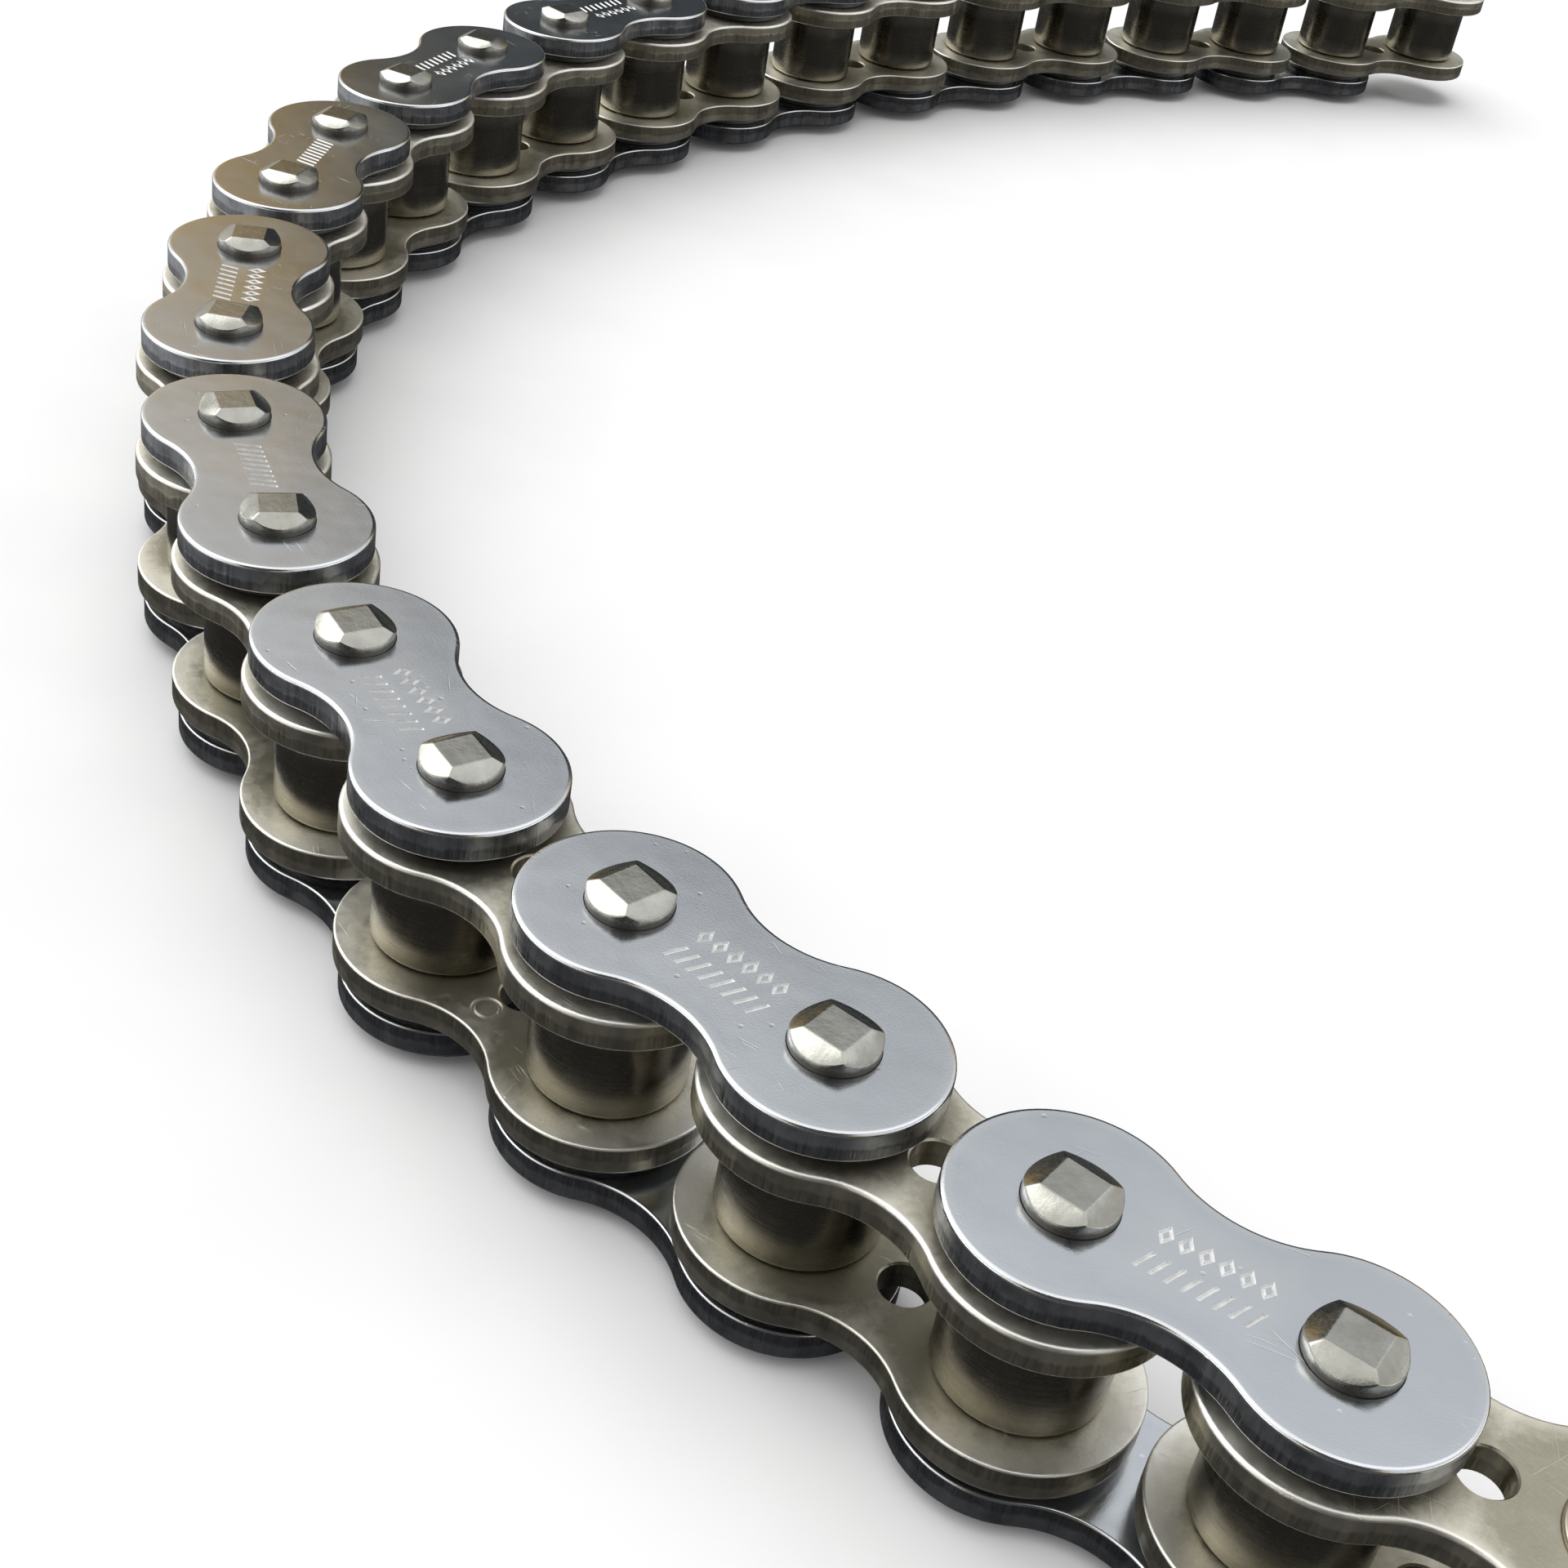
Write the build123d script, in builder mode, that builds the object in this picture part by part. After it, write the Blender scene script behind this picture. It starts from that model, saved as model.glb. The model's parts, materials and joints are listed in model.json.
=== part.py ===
"""Sealed motorcycle roller chain, 5/8 inch pitch: 25 links lying on their side in a hook-shaped curve.

The pins stand along Z and the chain's middle plane is Z = 0. The origin is the centre of the open bush
at the near end. The curve opens towards +X. Lengths are in millimetres and angles in degrees.
"""

from build123d import *
import math
import os

# Chain size
PITCH = 15.875
INNER_WIDTH = 7.94  # free width between the two inner plates
ROLLER_DIAMETER = 10.22
PIN_DIAMETER = 5.4
PIN_PROUD = 1.28  # how far a pin stands out of the outer plate

# Plates: a waist reaches this far from the link's long axis, and an end gap is what stays free
# between the round ends of two plates that follow each other in a straight chain
INNER_PLATE_THICKNESS = 2.1
INNER_PLATE_END_GAP = 1.075
INNER_PLATE_WAIST = 4.9
INNER_PLATE_HOLE_DIAMETER = 3.2  # lightening hole in the waist
OUTER_PLATE_THICKNESS = 2.1
OUTER_PLATE_END_GAP = 1.975
OUTER_PLATE_WAIST = 4.6
EDGE_BREAK = 0.25  # bevel around each plate's outward face

# Bushes, seals and clearances
BUSH_WALL = 1.3
BUSH_PROUD = 0.35  # how far a bush stands out of its inner plate, inside the seal
SEAL_GAP = 0.95  # between an inner plate and the outer plate over it
SEAL_WALL = 1.6
PIN_RUNNING_CLEARANCE = 0.05  # radial, between pin and bush
ROLLER_RUNNING_CLEARANCE = 0.08  # radial, between bush and roller
ROLLER_END_CLEARANCE = 0.12  # at each end of a roller
SEAL_BUSH_CLEARANCE = 0.25  # radial, between bush and seal
SEAL_FACE_CLEARANCE = 0.03  # between seal and inner plate

# Staked pin heads: a square flat with four faces that slope down to the pin's side
STAKE_FLAT = 2.8
STAKE_SLOPE = 28

# The curve: which way the first link points, from +X, and how far each joint turns clockwise from
# straight, seen from above, from the near end to the far end
FIRST_HEADING = 158
REST_BENDS = [3, 7, 2, 4, 12, 4, 7, 9, 8, 7, 6, 8, 8, 6, 6, 5, 4, 4, 4, 5, 4, 4, 3, 2]

# How far the plates' round ends reach from their pins
INNER_PLATE_END = (PITCH - INNER_PLATE_END_GAP) / 2
OUTER_PLATE_END = (PITCH - OUTER_PLATE_END_GAP) / 2

# Heights above the middle plane
INNER_PLATE_BASE = INNER_WIDTH / 2
INNER_PLATE_FACE = INNER_PLATE_BASE + INNER_PLATE_THICKNESS
OUTER_PLATE_BASE = INNER_PLATE_FACE + SEAL_GAP
OUTER_PLATE_FACE = OUTER_PLATE_BASE + OUTER_PLATE_THICKNESS
PIN_END = OUTER_PLATE_FACE + PIN_PROUD

# Radii of the nested parts on one pin, from the inside out
PIN_RADIUS = PIN_DIAMETER / 2
BUSH_BORE_RADIUS = PIN_RADIUS + PIN_RUNNING_CLEARANCE
BUSH_RADIUS = BUSH_BORE_RADIUS + BUSH_WALL
ROLLER_BORE_RADIUS = BUSH_RADIUS + ROLLER_RUNNING_CLEARANCE
SEAL_INNER_RADIUS = BUSH_RADIUS + SEAL_BUSH_CLEARANCE


def pin_positions():
    """Pin centres along the curve, from the open bush at the origin."""
    heading = math.radians(FIRST_HEADING)
    pins = [Vector(0, 0)]
    for bend in [0, *REST_BENDS]:
        heading -= math.radians(bend)
        pins.append(pins[-1] + Vector(PITCH * math.cos(heading), PITCH * math.sin(heading)))
    return pins


def link_location(first, second):
    """Where a link stands: its origin midway between two pins, its X axis from the first to the second."""
    return Plane(origin=(first + second) / 2, x_dir=second - first, z_dir=(0, 0, 1)).location


def pin_holes(height):
    """A plane at a height, and the places of the two pins on it."""
    return Plane.XY.offset(height), [(-PITCH / 2, 0), (PITCH / 2, 0)]


def plate(base, thickness, end, waist, hole_radius, centre_hole_radius=0):
    """A figure-eight plate: round ends about both pins, joined by hollow arcs that touch them."""
    half = PITCH / 2
    arc = (half**2 + waist**2 - end**2) / (2 * (end - waist))
    arc_height = waist + arc
    touch_x = half * arc / (end + arc)
    touch_y = arc_height * end / (end + arc)
    level, pins = pin_holes(base)
    with BuildPart() as made:
        with BuildSketch(level):
            with BuildLine():
                ThreePointArc((touch_x, touch_y), (0, waist), (-touch_x, touch_y))
                ThreePointArc((-touch_x, touch_y), (-half - end, 0), (-touch_x, -touch_y))
                ThreePointArc((-touch_x, -touch_y), (0, -waist), (touch_x, -touch_y))
                ThreePointArc((touch_x, -touch_y), (half + end, 0), (touch_x, touch_y))
            make_face()
        extrude(amount=thickness)
        chamfer(made.faces().sort_by(Axis.Z)[-1].edges(), EDGE_BREAK)
        with BuildSketch(level):
            with Locations(*pins):
                Circle(hole_radius)
            if centre_hole_radius:
                Circle(centre_hole_radius)
        extrude(amount=thickness, mode=Mode.SUBTRACT)
    return made.part


def tube(outer_radius, inner_radius, base, top):
    """A plain round tube about Z between two heights."""
    with BuildPart() as made:
        with BuildSketch(Plane.XY.offset(base)):
            Circle(outer_radius)
            Circle(inner_radius, mode=Mode.SUBTRACT)
        extrude(amount=top - base)
    return made.part


def staked_pin():
    """A pin about Z whose ends are struck into a square flat with four sloping faces."""
    foot = STAKE_FLAT + 2 * PIN_END / math.tan(math.radians(STAKE_SLOPE))
    with BuildPart() as made:
        with BuildSketch():
            Rectangle(foot, foot)
        with BuildSketch(Plane.XY.offset(PIN_END)):
            Rectangle(STAKE_FLAT, STAKE_FLAT)
        loft(ruled=True)
        mirror(about=Plane.XY)
        with BuildSketch(Plane.XY.offset(-PIN_END)):
            Circle(PIN_RADIUS)
        extrude(amount=2 * PIN_END, mode=Mode.INTERSECT)
    return made.part


def both_sides(piece, name):
    """An upper piece and its mirror image below the middle plane, with their names."""
    upper = piece.moved(Location())
    lower = piece.mirror(Plane.XY)
    upper.label = f"{name}_upper"
    lower.label = f"{name}_lower"
    return [upper, lower]


def at_both_pins(pieces):
    """Copies of pieces about Z at a link's first and second pin."""
    copies = []
    for x, end in ((-PITCH / 2, "first"), (PITCH / 2, "second")):
        for piece in pieces:
            copy = piece.moved(Location((x, 0, 0)))
            copy.label = f"{piece.label}_{end}"
            copies.append(copy)
    return copies


def inner_link_pieces():
    """Two inner plates pressed onto the ends of two bushes."""
    inner_plate = plate(
        INNER_PLATE_BASE,
        INNER_PLATE_THICKNESS,
        INNER_PLATE_END,
        INNER_PLATE_WAIST,
        BUSH_RADIUS,
        INNER_PLATE_HOLE_DIAMETER / 2,
    )
    bush_end = INNER_PLATE_FACE + BUSH_PROUD
    bush = tube(BUSH_RADIUS, BUSH_BORE_RADIUS, -bush_end, bush_end)
    bush.label = "bush"
    return [*both_sides(inner_plate, "inner_plate"), *at_both_pins([bush])]


def outer_link_pieces():
    """Two outer plates pressed onto two pins, with a seal under each plate at each pin."""
    outer_plate = plate(
        OUTER_PLATE_BASE,
        OUTER_PLATE_THICKNESS,
        OUTER_PLATE_END,
        OUTER_PLATE_WAIST,
        PIN_RADIUS,
    )
    pin = staked_pin()
    pin.label = "pin"
    seal = tube(
        SEAL_INNER_RADIUS + SEAL_WALL,
        SEAL_INNER_RADIUS,
        INNER_PLATE_FACE + SEAL_FACE_CLEARANCE,
        OUTER_PLATE_BASE,
    )
    return [*both_sides(outer_plate, "outer_plate"), *at_both_pins([pin, *both_sides(seal, "seal")])]


def write_node(name, pieces, location):
    """Places pieces, and writes them as the separate solids of one node."""
    placed = []
    for piece in pieces:
        copy = piece.moved(location)
        copy.label = piece.label
        placed.append(copy)
    export_step(Compound(label=name, children=placed), f"parts/{name}.step")


os.makedirs("parts", exist_ok=True)
pins = pin_positions()

# Inner and outer links alternate, with an inner link at each end
inner_link = inner_link_pieces()
outer_link = outer_link_pieces()
for index, (first, second) in enumerate(zip(pins, pins[1:])):
    kind, pieces = ("outer_link", outer_link) if index % 2 else ("inner_link", inner_link)
    write_node(f"{kind}_{index // 2 + 1:02d}", pieces, link_location(first, second))

# One roller turns on each bush
roller_end = INNER_WIDTH / 2 - ROLLER_END_CLEARANCE
roller = tube(ROLLER_DIAMETER / 2, ROLLER_BORE_RADIUS, -roller_end, roller_end)
roller.label = "roller"
for number, pin in enumerate(pins, start=1):
    write_node(f"roller_{number:02d}", [roller], Location(pin))
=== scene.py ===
"""Looks of a sealed motorcycle roller chain that lies on its side in a hook-shaped curve."""

import json
import math
import random

import bmesh
import bpy
from mathutils import Matrix, Vector
from mathutils.geometry import delaunay_2d_cdt


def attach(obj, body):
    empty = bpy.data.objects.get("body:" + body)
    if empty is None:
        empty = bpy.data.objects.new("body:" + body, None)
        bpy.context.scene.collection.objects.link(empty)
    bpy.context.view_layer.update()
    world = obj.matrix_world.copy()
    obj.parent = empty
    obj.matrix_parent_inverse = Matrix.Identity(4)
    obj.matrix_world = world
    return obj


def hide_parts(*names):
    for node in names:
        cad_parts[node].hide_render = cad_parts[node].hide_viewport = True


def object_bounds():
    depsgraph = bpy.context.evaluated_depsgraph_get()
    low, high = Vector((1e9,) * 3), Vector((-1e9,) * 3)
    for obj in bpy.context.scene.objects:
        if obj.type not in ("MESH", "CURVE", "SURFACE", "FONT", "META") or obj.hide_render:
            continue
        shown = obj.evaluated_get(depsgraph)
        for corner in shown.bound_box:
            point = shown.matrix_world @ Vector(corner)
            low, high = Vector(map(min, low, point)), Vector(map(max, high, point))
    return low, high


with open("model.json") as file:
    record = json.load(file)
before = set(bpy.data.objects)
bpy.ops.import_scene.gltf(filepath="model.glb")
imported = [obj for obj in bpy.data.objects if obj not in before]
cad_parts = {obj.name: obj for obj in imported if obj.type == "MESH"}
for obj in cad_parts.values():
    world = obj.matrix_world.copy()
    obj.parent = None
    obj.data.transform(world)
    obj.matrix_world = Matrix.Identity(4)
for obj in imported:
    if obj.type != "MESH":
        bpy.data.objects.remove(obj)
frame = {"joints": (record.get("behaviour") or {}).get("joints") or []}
cad_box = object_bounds()
MM = 0.001

# Sizes of the CAD parts, in millimetres
PITCH = 15.875
HALF = PITCH / 2
PIN_RADIUS = 2.7
PIN_END = 10.4
STAKE_HALF = 1.4
STAKE_SLOPE = 28
BUSH_RADII = (2.75, 4.05)
BUSH_END = 6.42
ROLLER_RADII = (4.13, 5.11)
ROLLER_END = 3.85
SEAL_RADII = (4.3, 5.9)
SEAL_HEIGHTS = (6.1, 7.02)
INNER_PLATE = {"base": 3.97, "thickness": 2.1, "end": 7.4, "waist": 4.9}
OUTER_PLATE = {"base": 7.02, "thickness": 2.1, "end": 6.95, "waist": 4.6}
LIGHTENING_HOLE_RADIUS = 1.6

# Finer detail of the surfaces, in millimetres
OUTWARD_ROUNDING = 0.25  # of a plate's stamped, visible edge
INWARD_ROUNDING = 0.14
HOLD = 0.06  # narrow strip that keeps the faces beside a rounding flat
EDGE_WEAR_AND_HIGHLIGHT = 0.85  # how far the lightened edge, worn plating with a painted highlight, fades into a face
MARK_DEPTH = 0.12
MARK_SLOPE = 0.1

# Material slots of a mesh of plates
FACES, WALLS, MARKS = 0, 1, 2


# ---------------------------------------------------------------- meshes


class Solid:
    """Rings of points joined into one mesh, in millimetres."""

    def __init__(self):
        self.points, self.faces, self.slots, self.rim = [], [], [], []

    def ring(self, outline, z, rim=0.0):
        """Adds a closed ring of points at a height, and returns their numbers."""
        first = len(self.points)
        self.points += [(x, y, z) for x, y in outline]
        self.rim += [rim] * len(outline)
        return list(range(first, len(self.points)))

    def face(self, corners, slot):
        self.faces.append(corners)
        self.slots.append(slot)

    def band(self, a, b, slot):
        """Quads between two rings of as many points."""
        for i in range(len(a)):
            j = (i + 1) % len(a)
            self.face([a[i], a[j], b[j], b[i]], slot)

    def bands(self, rings, slot):
        for a, b in zip(rings, rings[1:]):
            self.band(a, b, slot)

    def flat(self, rings, slot):
        """A flat face that the first ring bounds and the others cut holes and islands in."""
        numbers = [n for ring in rings for n in ring]
        places = [Vector(self.points[n][:2]) for n in numbers]
        edges, first = [], 0
        for ring in rings:
            count = len(ring)
            edges += [(first + i, first + (i + 1) % count) for i in range(count)]
            first += count
        _, _, triangles, original, _, _ = delaunay_2d_cdt(places, edges, [], 0, 1e-6)
        outlines = [[self.points[n][:2] for n in ring] for ring in rings]
        for triangle in triangles:
            corners = [original[k][0] for k in triangle]
            middle = sum((places[k] for k in corners), Vector((0, 0))) / 3
            if sum(encloses(outline, middle) for outline in outlines) % 2:
                self.face([numbers[k] for k in corners], slot)

    def mesh(self, name, materials, smooth_below=32, soften=0.0):
        """The finished mesh in metres, its edges bevelled by soften if that is given."""
        made = bpy.data.meshes.new(name)
        made.from_pydata([Vector(p) * MM for p in self.points], [], self.faces)
        for material in materials:
            made.materials.append(material)
        made.polygons.foreach_set("material_index", self.slots)
        made.attributes.new("rim", "FLOAT", "POINT").data.foreach_set("value", self.rim)
        work = bmesh.new()
        work.from_mesh(made)
        bmesh.ops.recalc_face_normals(work, faces=work.faces)
        if soften:
            edges = [e for e in work.edges if e.calc_face_angle(0) > math.radians(12)]
            bmesh.ops.bevel(
                work, geom=edges, offset=soften * MM, segments=2, profile=0.5,
                affect="EDGES", clamp_overlap=True,
            )
        work.to_mesh(made)
        work.free()
        made.polygons.foreach_set("use_smooth", [True] * len(made.polygons))
        made.set_sharp_from_angle(angle=math.radians(smooth_below))
        return made


def encloses(outline, point):
    """True if a closed outline goes round a point."""
    inside, x, y = False, point[0], point[1]
    for (x0, y0), (x1, y1) in zip(outline, outline[1:] + outline[:1]):
        if (y0 > y) != (y1 > y) and x < x0 + (y - y0) / (y1 - y0) * (x1 - x0):
            inside = not inside
    return inside


def circle(radius, count, x=0.0, y=0.0):
    turn = 2 * math.pi / count
    return [(x + radius * math.cos(i * turn), y + radius * math.sin(i * turn)) for i in range(count)]


def figure_eight(end, waist):
    """Points and outward directions of a plate's outline, counter-clockwise."""
    arc = (HALF**2 + waist**2 - end**2) / (2 * (end - waist))
    touch = math.atan2(waist + arc, -HALF)
    rest = math.pi - touch
    points = []
    for side in (1, -1):
        for i in range(56):
            a = touch * (i / 28 - 1)
            n = Vector((side * math.cos(a), side * math.sin(a)))
            points.append((Vector((side * HALF, 0)) + end * n, n))
        for i in range(18):
            a = -rest - (math.pi - 2 * rest) * i / 18
            n = Vector((-side * math.cos(a), -side * math.sin(a)))
            points.append((Vector((0, side * (waist + arc))) - arc * n, n))
    return points


def quarter(radius, steps):
    """(inset, drop) along a quarter round from the wall to the face."""
    turns = [math.pi / 2 * i / steps for i in range(steps + 1)]
    return [(radius * (1 - math.cos(a)), radius * (1 - math.sin(a))) for a in turns]


def inset(polygon, distance):
    """A convex counter-clockwise polygon drawn in by a distance."""
    moved, count = [], len(polygon)
    for i in range(count):
        a, b, c = (Vector(polygon[(i + k) % count]) for k in (-1, 0, 1))
        u, v = (b - a).normalized(), (c - b).normalized()
        n, m = Vector((-u.y, u.x)), Vector((-v.y, v.x))
        moved.append(b + (n + m) * distance / (1 + n.dot(m)))
    return [tuple(p) for p in moved]


def plate(solid, size, side, hole_radius, centre_hole=None, outward=(), inward=()):
    """One plate above (side 1) or below (side -1) the middle plane.

    outward and inward list the marks sunk in each face, as (outer polygon, inner polygon or None).
    """
    base, thickness = size["base"], size["thickness"]
    outline = figure_eight(size["end"], size["waist"])

    def level(height):
        return side * (base + height)

    def around(distance, height, rim):
        return solid.ring([tuple(p - n * distance) for p, n in outline], level(height), rim)

    lower = quarter(INWARD_ROUNDING, 3)
    upper = quarter(OUTWARD_ROUNDING, 4)
    # The last number of each ring is its rim value: how far faces there are lightened, as worn plating and
    # a painted highlight
    under = [around(EDGE_WEAR_AND_HIGHLIGHT, 0, 0.0), around(INWARD_ROUNDING + HOLD, 0, 0.45)]
    under += [around(d, h, 0.7 if 0 < d else 0.4) for d, h in reversed(lower)]
    over = [around(d, thickness - h, 1.0 if 0 < h else 0.5) for d, h in upper]
    over += [around(OUTWARD_ROUNDING + HOLD, thickness, 0.3), around(EDGE_WEAR_AND_HIGHLIGHT, thickness, 0.0)]
    wall = [
        under[-1],
        around(0, INWARD_ROUNDING + HOLD, 0.0),
        around(0, thickness - OUTWARD_ROUNDING - HOLD, 0.0),
        over[0],
    ]
    solid.bands(under, FACES)
    solid.bands(wall, WALLS)
    solid.bands(over, FACES)

    bottoms, tops = [under[0]], [over[-1]]
    holes = [(-HALF, hole_radius, 0.06, 56), (HALF, hole_radius, 0.06, 56)]
    if centre_hole:
        holes.append((0, centre_hole, 0.12, 40))
    for x, radius, break_, count in holes:
        rings = [
            solid.ring(circle(radius + d, count, x), level(h), r)
            for d, h, r in (
                (break_, 0, 0.0),
                (0, break_, 0.5),
                (0, thickness - break_, 0.5),
                (break_, thickness, 0.0),
            )
        ]
        solid.bands(rings, WALLS)
        bottoms.append(rings[0])
        tops.append(rings[-1])
    for marks, loops, top, sink in (
        (outward, tops, thickness, -MARK_DEPTH),
        (inward, bottoms, 0, MARK_DEPTH),
    ):
        for outer, inner in marks:
            rim_out = solid.ring(outer, level(top), 0.3)
            floor_out = solid.ring(inset(outer, MARK_SLOPE), level(top + sink), 0.8)
            solid.band(rim_out, floor_out, MARKS)
            loops.append(rim_out)
            if inner:
                rim_in = solid.ring(inner, level(top), 0.3)
                floor_in = solid.ring(inset(inner, -MARK_SLOPE), level(top + sink), 0.8)
                solid.band(rim_in, floor_in, MARKS)
                solid.band(floor_out, floor_in, MARKS)
                loops.append(rim_in)
            else:
                solid.face(floor_out, MARKS)
    solid.flat(bottoms, FACES)
    solid.flat(tops, FACES)


def tick(x, y, height, slant=0.35, width=0.3):
    """A slanted stroke across the link."""
    h, w, s = height / 2, width / 2, slant * height / 2
    return ([(x - w - s, y - h), (x + w - s, y - h), (x + w + s, y + h), (x - w + s, y + h)], None)


def diamond(x, y, half_width, half_height, stroke=0.3):
    """An open diamond."""
    outer = [(x - half_width, y), (x, y - half_height), (x + half_width, y), (x, y + half_height)]
    return (outer, inset(outer, stroke))


def turned(solid, profile, count, x=0.0):
    """Adds a closed (radius, height, rim) profile turned about an upright axis at x."""
    rings = [solid.ring(circle(r, count, x), z, rim) for r, z, rim in profile]
    solid.bands(rings + rings[:1], 0)


def tube_profile(inner, outer, low, high, rounding):
    """A tube's wall with its four corners rounded, and strips that keep its faces flat."""
    points = []
    corners = [(inner, low, 1, 1), (outer, low, -1, 1), (outer, high, -1, -1), (inner, high, 1, -1)]
    for k, (r, z, dr, dz) in enumerate(corners):
        arc = quarter(rounding, 3)
        if k % 2:
            arc = arc[::-1]
        # Rim value 1.0 on the rounded corners, where the tube is lightened: worn steel and a painted
        # highlight
        shaped = [(r + dr * d, z + dz * h, 1.0) for d, h in arc]
        along_wall = (r, z + dz * (rounding + HOLD), 0.0)
        along_face = (r + dr * (rounding + HOLD), z, 0.0)
        if k % 2:
            points += [along_face, *shaped, along_wall]
        else:
            points += [along_wall, *shaped, along_face]
    return points


def seal_profile(side):
    """An x-shaped section, hollow on all four sides."""
    quarter_points = [
        (0, 0.33), (0.35, 0.4), (0.64, 0.46), (0.76, 0.43), (0.8, 0.33), (0.72, 0.15), (0.62, 0),
    ]
    middle_r, middle_z = sum(SEAL_RADII) / 2, sum(SEAL_HEIGHTS) / 2
    right = quarter_points + [(r, -z) for r, z in reversed(quarter_points[:-1])]
    left = [(-r, z) for r, z in reversed(right[1:-1])]
    return [(middle_r + r, side * (middle_z + z), 0.0) for r, z in right + left]


def pin_mesh(materials):
    """A pin whose two ends are struck into a square flat with four sloping faces."""
    solid, count = Solid(), 96
    slope = math.tan(math.radians(STAKE_SLOPE))
    reach = []
    for i in range(count):
        a = 2 * math.pi * i / count
        reach.append((a, max(abs(math.cos(a)), abs(math.sin(a)))))
    flats, shoulders = [], []
    for side in (-1, 1):
        flat = solid.ring(
            [(STAKE_HALF / m * math.cos(a), STAKE_HALF / m * math.sin(a)) for a, m in reach],
            side * PIN_END,
        )
        shoulder = solid.ring(circle(PIN_RADIUS, count), 0)
        for n, (_, m) in zip(shoulder, reach):
            x, y, _ = solid.points[n]
            solid.points[n] = (x, y, side * (PIN_END - slope * (PIN_RADIUS * m - STAKE_HALF)))
        solid.band(flat, shoulder, 0)
        solid.face(flat, 0)
        flats.append(flat)
        shoulders.append(shoulder)
    shank = [solid.ring(circle(PIN_RADIUS, count), side * OUTER_PLATE["base"]) for side in (-1, 1)]
    solid.bands([shoulders[0], *shank, shoulders[1]], 0)
    made = solid.mesh("pin", materials, smooth_below=80, soften=0.09)
    holder = bpy.data.objects.new("pin_holder", made)
    bpy.context.scene.collection.objects.link(holder)
    weigh = holder.modifiers.new("weigh", "WEIGHTED_NORMAL")
    weigh.weight = 90
    bpy.context.view_layer.update()
    weighed = bpy.data.meshes.new_from_object(
        holder.evaluated_get(bpy.context.evaluated_depsgraph_get())
    )
    bpy.data.objects.remove(holder)
    return weighed


# ------------------------------------------------------------- materials


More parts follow.
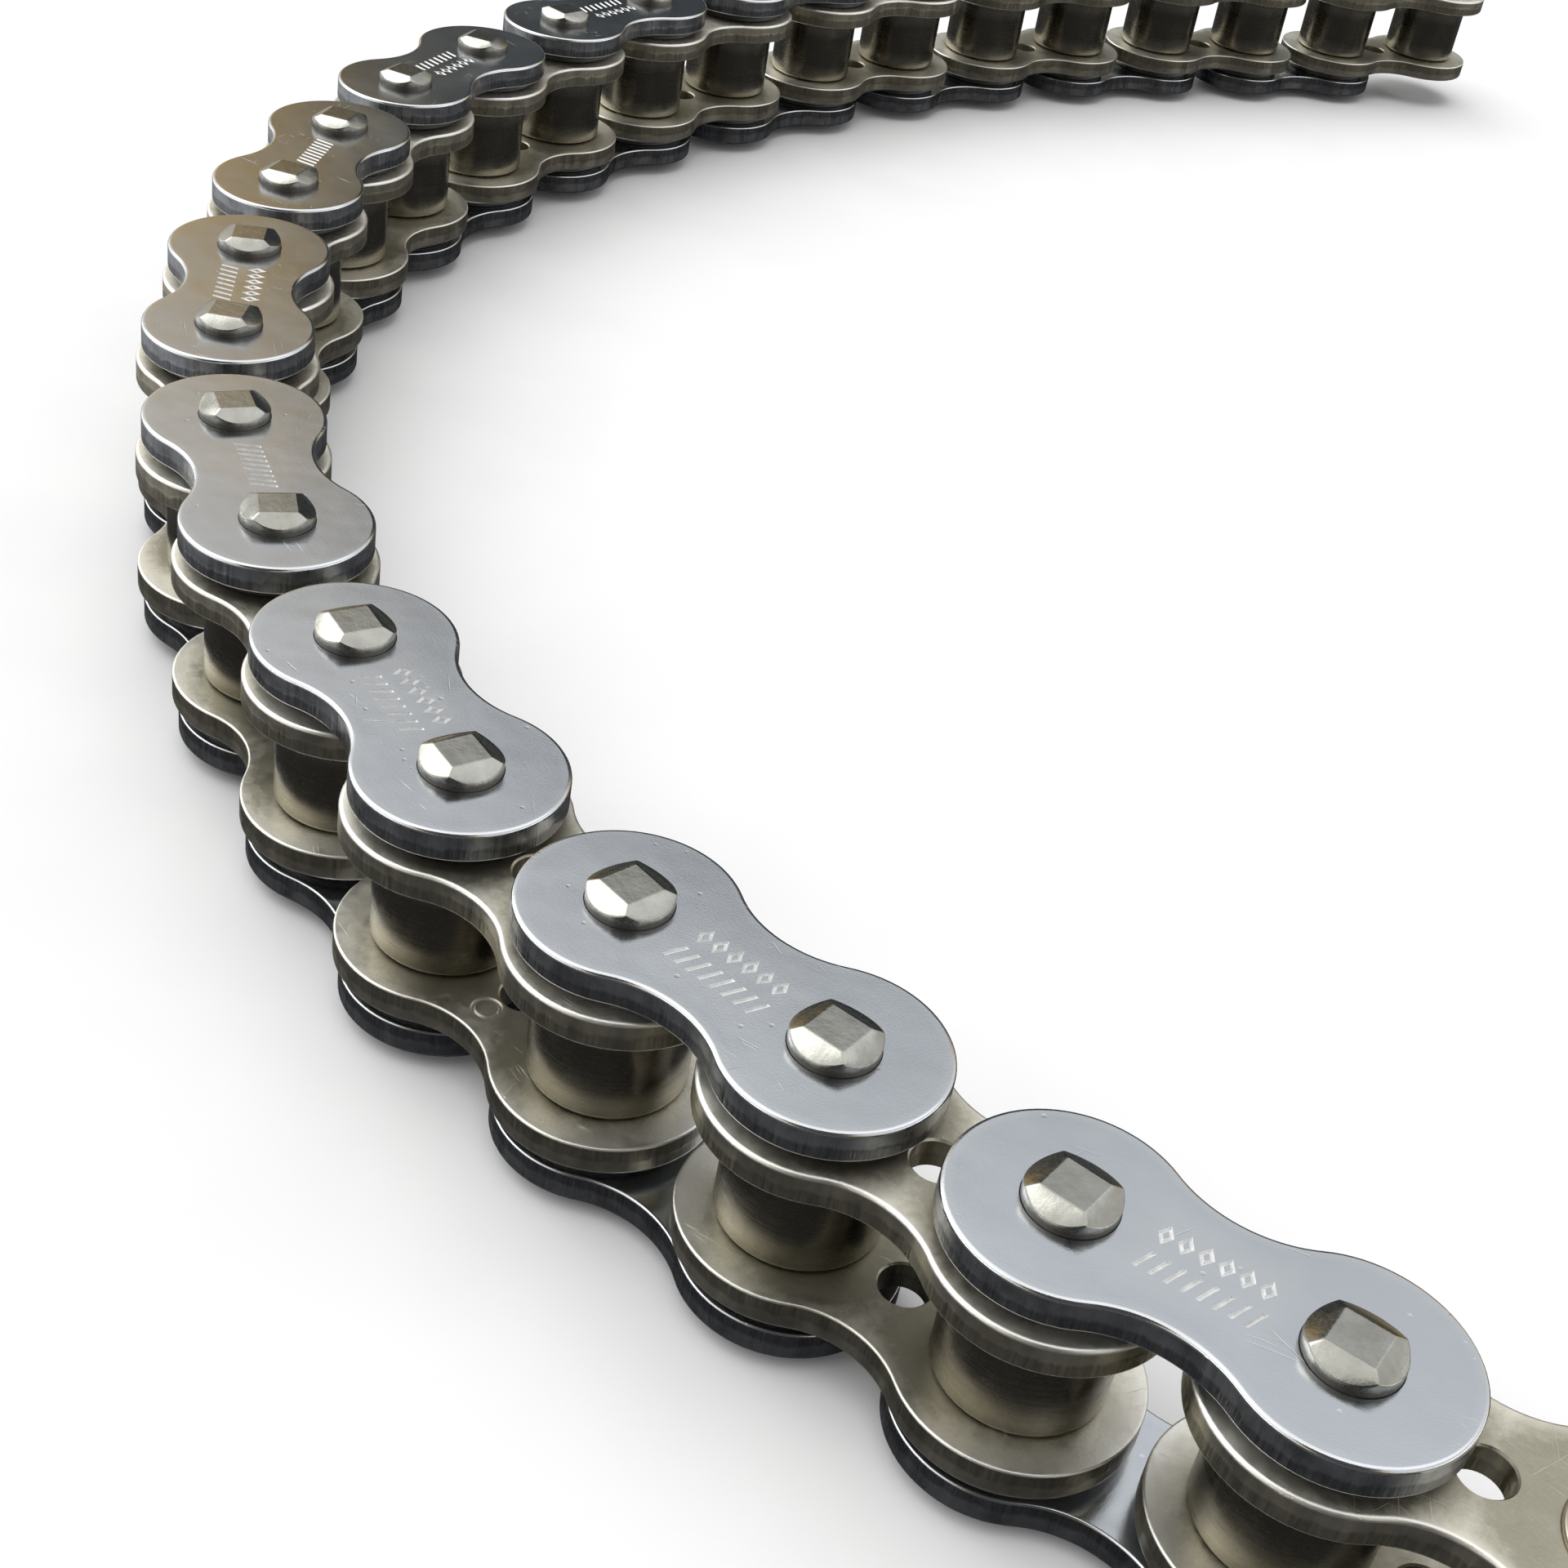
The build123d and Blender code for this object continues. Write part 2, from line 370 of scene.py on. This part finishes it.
class Finish:
    """A Principled material whose nodes are written as calls."""

    def __init__(self, name):
        self.material = bpy.data.materials.new(name)
        self.material.use_nodes = True
        self.tree = self.material.node_tree
        self.tree.nodes.clear()
        self.shader = self.node("ShaderNodeBsdfPrincipled")
        output = self.node("ShaderNodeOutputMaterial")
        self.tree.links.new(self.shader.outputs[0], output.inputs["Surface"])
        # Millimetres on the piece itself, shifted by a different amount on each piece
        chance = self.node("ShaderNodeObjectInfo").outputs["Random"]
        place = self.node("ShaderNodeTexCoord").outputs["Object"]
        scaled = self.vector("SCALE", place, Scale=1000.0)
        across, along = (self.maths("MULTIPLY", chance, most) for most in (91.0, 57.0))
        self.place = scaled
        self.shifted = self.vector("ADD", scaled, self.combine(across, along, 0.0))

    def node(self, kind, settings=None, **inputs):
        made = self.tree.nodes.new(kind)
        for key, value in (settings or {}).items():
            setattr(made, key, value)
        for key, value in inputs.items():
            self.feed(made.inputs[key.replace("_", " ")], value)
        return made

    def feed(self, socket, value):
        if isinstance(value, bpy.types.NodeSocket):
            self.tree.links.new(value, socket)
        elif value is not None:
            socket.default_value = value

    def vector(self, operation, a, b=None, output=0, **more):
        made = self.node("ShaderNodeVectorMath", {"operation": operation}, **more)
        self.feed(made.inputs[0], a)
        self.feed(made.inputs[1], b)
        return made.outputs[output]

    def maths(self, operation, a, b=None, clamp=False):
        made = self.node("ShaderNodeMath", {"operation": operation, "use_clamp": clamp})
        self.feed(made.inputs[0], a)
        self.feed(made.inputs[1], b)
        return made.outputs[0]

    def combine(self, x, y, z):
        return self.node("ShaderNodeCombineXYZ", X=x, Y=y, Z=z).outputs[0]

    def noise(self, scale, stretch=(1, 1, 1), detail=3.0, rough=0.55, place=None):
        where = self.vector("MULTIPLY", place or self.shifted, tuple(scale * s for s in stretch))
        made = self.node("ShaderNodeTexNoise", Vector=where, Scale=1.0, Detail=detail, Roughness=rough)
        return made.outputs["Fac"]

    def turned_noise(self, scale, stretch, angle, detail=2.0):
        about_z = {"rotation_type": "Z_AXIS"}
        turned = self.node("ShaderNodeVectorRotate", about_z, Vector=self.shifted, Angle=angle)
        return self.noise(scale, stretch, detail, place=turned.outputs[0])

    def span(self, value, low, high, to_low=0.0, to_high=1.0):
        made = self.node("ShaderNodeMapRange", {"clamp": True})
        for n, v in enumerate((value, low, high, to_low, to_high)):
            self.feed(made.inputs[n], v)
        return made.outputs[0]

    def mix(self, share, a, b):
        made = self.node("ShaderNodeMix", {"data_type": "RGBA"})
        self.feed(made.inputs[0], share)
        self.feed(made.inputs[6], a)
        self.feed(made.inputs[7], b)
        return made.outputs[2]

    def attribute(self, name):
        return self.node("ShaderNodeAttribute", {"attribute_name": name}).outputs["Fac"]

    def height(self):
        """Distance from the middle plane, in millimetres."""
        z = self.node("ShaderNodeSeparateXYZ", Vector=self.place).outputs["Z"]
        return self.maths("ABSOLUTE", z)

    def from_pin(self):
        """Distance from the nearer pin's axis on a link, in millimetres, less towards the waist."""
        split = self.node("ShaderNodeSeparateXYZ", Vector=self.place)
        x = self.maths("SUBTRACT", self.maths("ABSOLUTE", split.outputs["X"]), HALF)
        distance = self.vector("LENGTH", self.combine(x, split.outputs["Y"], 0.0), output="Value")
        return self.maths("ADD", distance, self.maths("MULTIPLY", x, 0.3))

    def bump(self, height, distance, strength=1.0, below=None):
        made = self.node("ShaderNodeBump", Height=height, Distance=distance * MM, Strength=strength)
        if below:
            self.tree.links.new(below, made.inputs["Normal"])
        return made.outputs[0]

    def scratches(self, angles=(0.4, 1.9, 2.7), fine=5.0):
        """Sparse thin lines in a few directions, 1 on a line."""
        total = None
        for k, angle in enumerate(angles):
            line = self.span(self.turned_noise(fine, (0.035, 1, 0.2), angle + 0.13 * k), 0.68, 0.73)
            where = self.span(self.noise(0.22, (1, 1, 0.4), 1.0), 0.59 - 0.02 * k, 0.67)
            line = self.maths("MULTIPLY", line, where)
            total = line if total is None else self.maths("MAXIMUM", total, line)
        return total

    def finish(self, **inputs):
        for key, value in inputs.items():
            self.feed(self.shader.inputs[key.replace("_", " ")], value)
        return self.material


def rgb(r, g, b):
    return (r, g, b, 1.0)


def plated_face(name, tint, worn, bright, rough):
    """A plate's flat faces and its rounded edge: plated steel, a little mottled, with fine scratches."""
    f = Finish(name)
    clouds = f.noise(0.16, detail=4.0)
    grain = f.noise(7.0, detail=4.0, rough=0.7)
    lines = f.scratches()
    rim = f.attribute("rim")
    spots = f.node("ShaderNodeTexVoronoi", Vector=f.shifted, Scale=0.55)
    specks = f.span(spots.outputs["Distance"], 0.05, 0.09, 1.0, 0.0)
    colour = f.mix(f.span(clouds, 0.35, 0.7), tint, worn)
    # Rims lightened: worn plating, and a painted highlight along the rounded edges
    colour = f.mix(f.maths("MULTIPLY", rim, 0.65), colour, bright)
    colour = f.mix(f.maths("MULTIPLY", f.maths("MAXIMUM", lines, specks), 0.3), colour, bright)
    roughness = f.span(clouds, 0.3, 0.75, rough - 0.04, rough + 0.06)
    roughness = f.maths("ADD", roughness, f.maths("MULTIPLY", lines, 0.12))
    roughness = f.maths("SUBTRACT", roughness, f.maths("MULTIPLY", rim, 0.08), clamp=True)
    normal = f.bump(grain, 0.006)
    normal = f.bump(f.maths("SUBTRACT", 0.0, f.maths("MAXIMUM", lines, specks)), 0.007, below=normal)
    normal = f.bump(f.noise(0.35, detail=1.0), 0.02, below=normal)
    return f.finish(Base_Color=colour, Roughness=roughness, Metallic=1.0, Normal=normal)


def sheared_wall(name, tint, torn, bright, band, rough):
    """A stamped plate's wall: burnished further out than band, torn and streaked below it.

    band is a height in millimetres from the chain's middle plane.
    """
    f = Finish(name)
    edge = f.noise(0.9, (1, 1, 0), 2.0)
    height = f.maths("ADD", f.height(), f.maths("MULTIPLY", edge, 0.8))
    burnished = f.span(height, band + 0.3, band + 0.55)
    streaks = f.noise(4.5, (1, 1, 0.06), 3.0, 0.65)
    broad = f.noise(0.9, (1, 1, 0.1), 2.0)
    darkening = f.span(f.noise(0.45, detail=3.0), 0.42, 0.66)
    colour = f.mix(f.span(streaks, 0.25, 0.8), torn, tint)
    colour = f.mix(f.maths("MULTIPLY", burnished, 0.7), colour, bright)
    colour = f.mix(f.maths("MULTIPLY", darkening, 0.6), colour, torn)
    # Rims lightened: worn plating, and a painted highlight along the edges
    colour = f.mix(f.maths("MULTIPLY", f.attribute("rim"), 0.8), colour, bright)
    roughness = f.span(f.maths("ADD", streaks, broad), 0.7, 1.3, rough - 0.05, rough + 0.15)
    depth = f.maths("MULTIPLY", streaks, f.span(burnished, 0.0, 1.0, 1.0, 0.25))
    normal = f.bump(depth, 0.05)
    normal = f.bump(broad, 0.04, below=normal)
    return f.finish(Base_Color=colour, Roughness=roughness, Metallic=1.0, Normal=normal)


def nickel_face(name, tint, worn, bright, waist_shade, rough):
    """Tumbled nickel: mottled and satin, with short scratches every way, patchy painted shade towards the
    waist and a painted highlight on the round ends.
    """
    f = Finish(name)
    clouds = f.noise(0.3, detail=5.0, rough=0.6)
    mottle = f.noise(1.6, detail=5.0, rough=0.65)
    grain = f.noise(9.0, detail=3.0, rough=0.7)
    lines = f.scratches((0.2, 1.1, 1.8, 2.6), 7.0)
    rim = f.attribute("rim")
    colour = f.mix(f.span(clouds, 0.38, 0.66), tint, worn)
    colour = f.mix(f.maths("MULTIPLY", f.span(mottle, 0.42, 0.7), 0.4), colour, worn)
    speckle = f.span(f.noise(4.0, detail=3.0, rough=0.8), 0.45, 0.6)
    colour = f.mix(f.maths("MULTIPLY", speckle, 0.55), colour, worn)
    # Patchy painted shade on the waist and at the foot of each roller and seal, and a painted highlight on
    # each round end
    patchy = f.maths("MULTIPLY", f.maths("SUBTRACT", f.maths("ADD", clouds, mottle), 1.0), 2.2)
    reach = f.maths("ADD", f.from_pin(), patchy)
    # Painted shade: darker just outside each roller and seal, most towards the waist
    colour = f.mix(f.span(reach, 5.2, 6.9, 0.74, 0.0), colour, waist_shade)
    # Painted highlight: each round end lightened towards bright
    colour = f.mix(f.span(reach, 6.8, 9.0, 0.0, 0.7), colour, bright)
    # Rims lightened: worn nickel, and a painted highlight along the rounded edges
    colour = f.mix(f.maths("MULTIPLY", rim, 0.75), colour, bright)
    colour = f.mix(f.maths("MULTIPLY", lines, 0.35), colour, bright)
    roughness = f.span(f.maths("ADD", clouds, mottle), 0.75, 1.3, rough - 0.05, rough + 0.12)
    roughness = f.maths("SUBTRACT", roughness, f.maths("MULTIPLY", rim, 0.1), clamp=True)
    normal = f.bump(grain, 0.01)
    normal = f.bump(mottle, 0.012, below=normal)
    normal = f.bump(lines, 0.01, below=normal)
    return f.finish(Base_Color=colour, Roughness=roughness, Metallic=1.0, Normal=normal)


def stamped_mark(name, tint, worn, rough):
    """The sunk surface of a stamped mark: bright, and rough from the punch."""
    f = Finish(name)
    grain = f.noise(7.0, detail=4.0, rough=0.7)
    colour = f.mix(f.span(f.noise(1.6, detail=4.0), 0.35, 0.7), tint, worn)
    roughness = f.span(grain, 0.3, 0.7, rough - 0.08, rough + 0.08)
    return f.finish(Base_Color=colour, Roughness=roughness, Metallic=1.0, Normal=f.bump(grain, 0.03))


def struck_pin(name, tint, worn, corner_shade_and_grime, rough):
    """Staked steel: flats and slopes slightly uneven from the punch."""
    f = Finish(name)
    dents = f.noise(1.1, detail=3.0, rough=0.6)
    grain = f.noise(6.0, detail=4.0, rough=0.7)
    colour = f.mix(f.span(f.noise(0.8, detail=4.0), 0.35, 0.7), tint, worn)
    # Painted shade in the corner, with grime: the pin's side darker and rougher close over the plate
    edge = f.maths("MULTIPLY", f.noise(2.2, detail=4.0, rough=0.7), 0.5)
    darkening = f.span(f.maths("ADD", f.height(), edge), 9.7, 10.05, 0.85, 0.0)
    colour = f.mix(darkening, colour, corner_shade_and_grime)
    roughness = f.span(grain, 0.3, 0.7, rough - 0.05, rough + 0.1)
    roughness = f.maths("ADD", roughness, f.maths("MULTIPLY", darkening, 0.3))
    normal = f.bump(grain, 0.005)
    normal = f.bump(dents, 0.02, below=normal)
    return f.finish(Base_Color=colour, Roughness=roughness, Metallic=1.0, Normal=normal)


def ground_tube(name, tint, band, rough):
    """Ground round the axis: fine rings, and a darker band about the middle plane that is a painted
    reflection.
    """
    f = Finish(name)
    rings = f.noise(9.0, (0.03, 0.03, 1), 4.0, 0.7)
    clouds = f.noise(0.5, (1, 1, 0.6), 4.0)
    # Painted reflection: the tube darker towards the middle plane, with a ragged edge
    middle = f.span(f.maths("ADD", f.height(), f.maths("MULTIPLY", clouds, 0.9)), 2.1, 3.2, 1.0, 0.0)
    colour = f.mix(f.maths("MULTIPLY", middle, 0.75), tint, band)
    colour = f.mix(f.maths("MULTIPLY", f.span(rings, 0.45, 0.7), 0.08), colour, band)
    # Rounded ends lightened: worn steel, and a painted highlight
    colour = f.mix(f.maths("MULTIPLY", f.attribute("rim"), 0.3), colour, rgb(0.6, 0.57, 0.48))
    roughness = f.span(f.maths("ADD", rings, clouds), 0.75, 1.3, rough - 0.04, rough + 0.14)
    normal = f.bump(rings, 0.0015)
    normal = f.bump(clouds, 0.008, below=normal)
    return f.finish(Base_Color=colour, Roughness=roughness, Metallic=1.0, Normal=normal)


def greased_rubber(name):
    """Black nitrile rubber under a film of grease."""
    f = Finish(name)
    grain = f.noise(5.0, detail=4.0)
    film = f.noise(0.7, detail=3.0)
    colour = f.mix(f.span(grain, 0.3, 0.7), rgb(0.012, 0.012, 0.013), rgb(0.03, 0.028, 0.026))
    roughness = f.span(film, 0.35, 0.65, 0.28, 0.55)
    return f.finish(
        Base_Color=colour, Roughness=roughness, Coat_Weight=0.3, Coat_Roughness=0.2,
        Normal=f.bump(grain, 0.02),
    )


outer_face = plated_face(
    "outer_face",
    tint=rgb(0.63, 0.66, 0.71),
    worn=rgb(0.58, 0.61, 0.66),
    bright=rgb(0.85, 0.87, 0.9),
    rough=0.17,
)
outer_wall = sheared_wall(
    "outer_wall",
    tint=rgb(0.4, 0.41, 0.44),
    torn=rgb(0.15, 0.155, 0.165),
    bright=rgb(0.58, 0.6, 0.64),
    band=7.9,
    rough=0.26,
)
inner_face = nickel_face(
    "inner_face",
    tint=rgb(0.96, 0.94, 0.85),
    worn=rgb(0.76, 0.73, 0.63),
    bright=rgb(1.0, 0.99, 0.95),
    waist_shade=rgb(0.27, 0.25, 0.185),
    rough=0.45,
)
inner_wall = sheared_wall(
    "inner_wall",
    tint=rgb(0.56, 0.53, 0.435),
    torn=rgb(0.27, 0.25, 0.19),
    bright=rgb(0.72, 0.68, 0.57),
    band=5.0,
    rough=0.32,
)
stamped_nickel = stamped_mark("stamped_nickel", rgb(0.84, 0.81, 0.71), rgb(0.62, 0.59, 0.5), 0.42)
# The stamped steel is lighter than the plate's face: a painted highlight on the sunk marks; their roughness
# is from the punch
stamped_steel = stamped_mark("stamped_steel", rgb(0.86, 0.87, 0.875), rgb(0.7, 0.71, 0.72), 0.47)
pin_steel = struck_pin(
    "pin_steel",
    tint=rgb(0.46, 0.46, 0.43),
    worn=rgb(0.37, 0.37, 0.34),
    corner_shade_and_grime=rgb(0.09, 0.085, 0.075),
    rough=0.17,
)
bush_steel = ground_tube("bush_steel", rgb(0.5, 0.47, 0.4), rgb(0.36, 0.33, 0.28), 0.3)
roller_steel = ground_tube("roller_steel", rgb(0.3, 0.28, 0.23), rgb(0.13, 0.118, 0.095), 0.22)
seal_rubber = greased_rubber("seal_rubber")


# ---------------------------------------------------------------- pieces


def outer_plates(name, marks):
    solid = Solid()
    plate(solid, OUTER_PLATE, 1, PIN_RADIUS, outward=marks)
    plate(solid, OUTER_PLATE, -1, PIN_RADIUS)
    return solid.mesh(name, [outer_face, outer_wall, stamped_steel])


def inner_plates(name, marks=()):
    solid = Solid()
    plate(solid, INNER_PLATE, 1, BUSH_RADII[1], LIGHTENING_HOLE_RADIUS)
    plate(solid, INNER_PLATE, -1, BUSH_RADII[1], LIGHTENING_HOLE_RADIUS, inward=marks)
    return solid.mesh(name, [inner_face, inner_wall, stamped_nickel])


# Sunk marks that stand for a stamp: a row of strokes over a row of open diamonds, or strokes alone
TWO_ROWS = [tick(-3.15 + 0.9 * i, 1.15, 1.5) for i in range(8)]
TWO_ROWS += [diamond(-2.9 + 1.16 * i, -1.15, 0.48, 0.8, 0.24) for i in range(6)]
ONE_ROW = [tick(-3.0 + 0.75 * i, 0, 1.9, width=0.34) for i in range(9)]
RING_MARK = [(circle(1.05, 24, 0.35, 2.85), circle(0.72, 24, 0.35, 2.85))]

outer_meshes = [
    outer_plates("outer_plates_two_rows", TWO_ROWS),
    outer_plates("outer_plates_one_row", ONE_ROW),
]
ONE_ROW_LINKS = (4, 6, 9, 11)
inner_mesh = inner_plates("inner_plates")
ringed_mesh = inner_plates("inner_plates_ringed", RING_MARK)
RINGED_LINK = 3

bushes = Solid()
for x in (-HALF, HALF):
    turned(bushes, tube_profile(*BUSH_RADII, -BUSH_END, BUSH_END, 0.2), 72, x)
bush_mesh = bushes.mesh("bushes", [bush_steel])

seals = Solid()
for x in (-HALF, HALF):
    for side in (-1, 1):
        turned(seals, seal_profile(side), 64, x)
seal_mesh = seals.mesh("seals", [seal_rubber], smooth_below=80)

roller = Solid()
turned(roller, tube_profile(*ROLLER_RADII, -ROLLER_END, ROLLER_END, 0.3), 96)
roller_mesh = roller.mesh("roller", [roller_steel])

stake = pin_mesh([pin_steel])


def place(name, mesh, node, slot, where, heading):
    """One piece, standing at a point and turned about Z, that moves with a CAD node's body."""
    piece = bpy.data.objects.new(name, mesh)
    bpy.context.scene.collection.objects.link(piece)
    piece.matrix_world = Matrix.Translation(where) @ Matrix.Rotation(heading, 4, "Z")
    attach(piece, node)
    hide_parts(node)
    return piece


joints = {j["name"]: j for j in frame["joints"]}
spins = sorted(name for name in joints if name.startswith("roller_"))
pins = [Vector(joints[name]["pos_m"]) for name in spins]
chance = random.Random(7)

for number, (first, second) in enumerate(zip(pins, pins[1:])):
    along = second - first
    heading = math.atan2(along.y, along.x)
    middle = (first + second) / 2
    order = number // 2 + 1
    if number % 2 == 0:
        node = f"inner_link_{order:02d}"
        plates = ringed_mesh if order == RINGED_LINK else inner_mesh
        place(f"inner_plates_{order:02d}", plates, node, "inner_link", middle, heading)
        place(f"bushes_{order:02d}", bush_mesh, node, "inner_link", middle, heading)
    else:
        node = f"outer_link_{order:02d}"
        plates = outer_meshes[order in ONE_ROW_LINKS]
        place(f"outer_plates_{order:02d}", plates, node, "outer_link", middle, heading)
        place(f"seals_{order:02d}", seal_mesh, node, "seal", middle, heading)
        for pin_number, pin in ((number + 1, first), (number + 2, second)):
            turn = heading + math.radians(chance.uniform(-9, 9))
            place(f"pin_{pin_number:02d}", stake, node, "outer_link", pin, turn)

for number, pin in enumerate(pins, start=1):
    node = f"roller_{number:02d}"
    place(f"roller_tube_{number:02d}", roller_mesh, node, "roller", pin, chance.uniform(0, 6.28))


# ----------------------------------------------------------------- stage

low, high = cad_box
middle = (low + high) / 2

floor_mesh = bpy.data.meshes.new("floor")
work = bmesh.new()
bmesh.ops.create_circle(work, cap_ends=True, radius=6.0, segments=96)
work.to_mesh(floor_mesh)
work.free()
floor = bpy.data.objects.new("floor", floor_mesh)
floor.location = (middle.x, middle.y, low.z)
bpy.context.scene.collection.objects.link(floor)

# Pale paper, which shiny things mirror as darker: grey beyond the left of the curve, near black elsewhere
paper = Finish("paper")
fibres = paper.span(paper.noise(0.05, detail=2.0), 0.4, 0.6)
pale = paper.mix(fibres, rgb(0.9, 0.9, 0.9), rgb(0.88, 0.88, 0.885))
glossy = paper.node("ShaderNodeLightPath").outputs["Is Glossy Ray"]
across = paper.node("ShaderNodeSeparateXYZ", Vector=paper.place).outputs["X"]
as_mirrored = paper.mix(paper.span(across, -75.0, -110.0), rgb(0.07, 0.07, 0.072), rgb(0.42, 0.42, 0.42))
floor_mesh.materials.append(
    paper.finish(Base_Color=paper.mix(glossy, pale, as_mirrored), Roughness=0.9, Specular_IOR_Level=0.0)
)

bpy.context.scene.view_settings.view_transform = "Standard"

# The studio. The camera sees plain white behind the scene, and matt things get even light. Shiny things
# mirror a grey-blue ceiling, tan walls and a dark surround at floor level.
world = bpy.data.worlds.new("studio")
bpy.context.scene.world = world
world.use_nodes = True
tree = world.node_tree
tree.nodes.clear()
output = tree.nodes.new("ShaderNodeOutputWorld")
direction = tree.nodes.new("ShaderNodeTexCoord")
split = tree.nodes.new("ShaderNodeSeparateXYZ")
tree.links.new(direction.outputs["Generated"], split.inputs[0])


def studio_node(kind, a, b=None, operation=None):
    """A node of the studio's world with its first inputs fed by links or numbers."""
    made = tree.nodes.new(kind)
    if operation:
        made.operation = operation
    for socket, value in zip(made.inputs, (a, b)):
        if isinstance(value, bpy.types.NodeSocket):
            tree.links.new(value, socket)
        elif value is not None:
            socket.default_value = value
    return made


def studio_maths(operation, a, b):
    return studio_node("ShaderNodeMath", a, b, operation).outputs[0]


def studio_ramp(value, stops):
    """Colours along a value, as (value, colour) stops."""
    made = studio_node("ShaderNodeValToRGB", value)
    for n, (at, colour) in enumerate(stops):
        stop = made.color_ramp.elements[n] if n < 2 else made.color_ramp.elements.new(at)
        stop.position, stop.color = at, colour
    return made.outputs["Color"]


def studio_mix(share, a, b):
    made = tree.nodes.new("ShaderNodeMix")
    made.data_type = "RGBA"
    for n, value in ((0, share), (6, a), (7, b)):
        if isinstance(value, bpy.types.NodeSocket):
            tree.links.new(value, made.inputs[n])
        else:
            made.inputs[n].default_value = value
    return made.outputs[2]


def studio_span(value, low, high):
    made = studio_node("ShaderNodeMapRange", value)
    made.interpolation_type = "SMOOTHSTEP"
    made.inputs["From Min"].default_value, made.inputs["From Max"].default_value = low, high
    return made.outputs[0]


up = split.outputs["Z"]
to_left = studio_maths("MULTIPLY", split.outputs["X"], -1.0)
aside = studio_maths("MAXIMUM", to_left, studio_maths("MULTIPLY", split.outputs["X"], 0.75))
along_walls = studio_maths("ADD", studio_maths("MULTIPLY", up, 0.3), aside)
WALLS = [
    (0.0, rgb(0.04, 0.045, 0.048)),
    (0.27, rgb(0.05, 0.057, 0.06)),
    (0.32, rgb(0.085, 0.09, 0.09)),
    (0.355, rgb(0.14, 0.125, 0.085)),
    (0.375, rgb(0.34, 0.235, 0.095)),
    (0.4, rgb(0.42, 0.29, 0.12)),
    (0.435, rgb(0.56, 0.41, 0.21)),
    (0.5, rgb(0.66, 0.58, 0.45)),
    (0.7, rgb(0.85, 0.84, 0.8)),
    (0.85, rgb(2.2, 2.2, 2.1)),
    (1.0, rgb(2.9, 2.9, 2.8)),
]
CEILING = [
    (0.5, rgb(0.76, 0.75, 0.72)),
    (0.56, rgb(0.74, 0.74, 0.73)),
    (0.65, rgb(0.67, 0.68, 0.675)),
    (0.73, rgb(0.72, 0.74, 0.745)),
    (1.0, rgb(0.85, 0.87, 0.88)),
]
overhead = studio_maths("ADD", up, studio_maths("MULTIPLY", aside, 0.5))
walls, ceiling = studio_ramp(along_walls, WALLS), studio_ramp(up, CEILING)
surround = studio_mix(studio_span(overhead, 0.55, 0.67), walls, ceiling)
# Patches round a direction, as (direction, where its edge starts and ends as the cosine of the angle from
# it, colour): the wide lamp, a bright window to the left, a smaller one to the right, and the dark shape of
# whoever stands in front
PATCHES = [
    ((-0.365, 0.05, 0.93), (0.64, 0.82), rgb(1.15, 1.14, 1.1)),
    ((-0.62, 0.25, 0.743), (0.86, 0.96), rgb(3.0, 3.0, 2.9)),
    ((0.46, 0.265, 0.848), (0.92, 0.97), rgb(1.25, 1.25, 1.25)),
    ((0.0, -0.77, 0.64), (0.84, 0.93), rgb(0.07, 0.07, 0.072)),
]
for way, (faint, full), colour in PATCHES:
    facing = studio_node("ShaderNodeVectorMath", direction.outputs["Generated"], way, "DOT_PRODUCT")
    surround = studio_mix(studio_span(facing.outputs["Value"], faint, full), surround, colour)
path = tree.nodes.new("ShaderNodeLightPath")
mirrored = tree.nodes.new("ShaderNodeBackground")
tree.links.new(surround, mirrored.inputs["Color"])
even = tree.nodes.new("ShaderNodeBackground")
even.inputs["Color"].default_value = rgb(0.64, 0.64, 0.64)
chosen = tree.nodes.new("ShaderNodeMixShader")
tree.links.new(path.outputs["Is Glossy Ray"], chosen.inputs["Fac"])
tree.links.new(even.outputs[0], chosen.inputs[1])
tree.links.new(mirrored.outputs[0], chosen.inputs[2])
seen = tree.nodes.new("ShaderNodeBackground")
seen.inputs["Color"].default_value = rgb(1.0, 1.0, 1.0)
shown = tree.nodes.new("ShaderNodeMixShader")
tree.links.new(path.outputs["Is Camera Ray"], shown.inputs["Fac"])
tree.links.new(chosen.outputs[0], shown.inputs[1])
tree.links.new(seen.outputs[0], shown.inputs[2])
tree.links.new(shown.outputs[0], output.inputs["Surface"])
world.cycles.sampling_method = "NONE"


sun = bpy.data.lights.new("wide_left_lamp", "SUN")
sun.energy, sun.angle = 1.9, math.radians(84)
lamp = bpy.data.objects.new("wide_left_lamp", sun)
bpy.context.scene.collection.objects.link(lamp)
lamp_shines = Vector((0.22, -0.03, -0.56))
lamp.rotation_euler = lamp_shines.to_track_quat("-Z", "Y").to_euler()
lamp.visible_glossy = False  # shiny things mirror the lamp's patch of the studio instead

# ---------------------------------------------------------------- camera

# Fitted to the places of the pins in the photo
CAMERA_PLACE = Vector((-46.358, -72.37, 92.044))
HEADING, DOWN, ROLL = (math.radians(angle) for angle in (90.98, 35.33, 10.56))
SENSOR_WIDTH, LENS = 36.0, 51.5

camera_data = bpy.data.cameras.new("camera")
camera_data.sensor_width = SENSOR_WIDTH
camera_data.lens = LENS
camera_data.clip_start = 0.005
camera = bpy.data.objects.new("camera", camera_data)
bpy.context.scene.collection.objects.link(camera)
bpy.context.scene.camera = camera
looks = Vector((math.cos(DOWN) * math.cos(HEADING), math.cos(DOWN) * math.sin(HEADING), -math.sin(DOWN)))
level = looks.cross(Vector((0, 0, 1))).normalized()
upright = level.cross(looks)
right = level * math.cos(ROLL) + upright * math.sin(ROLL)
above = upright * math.cos(ROLL) - level * math.sin(ROLL)
turned_camera = Matrix((right, above, -looks)).transposed().to_4x4()
camera.matrix_world = Matrix.Translation(CAMERA_PLACE * MM) @ turned_camera
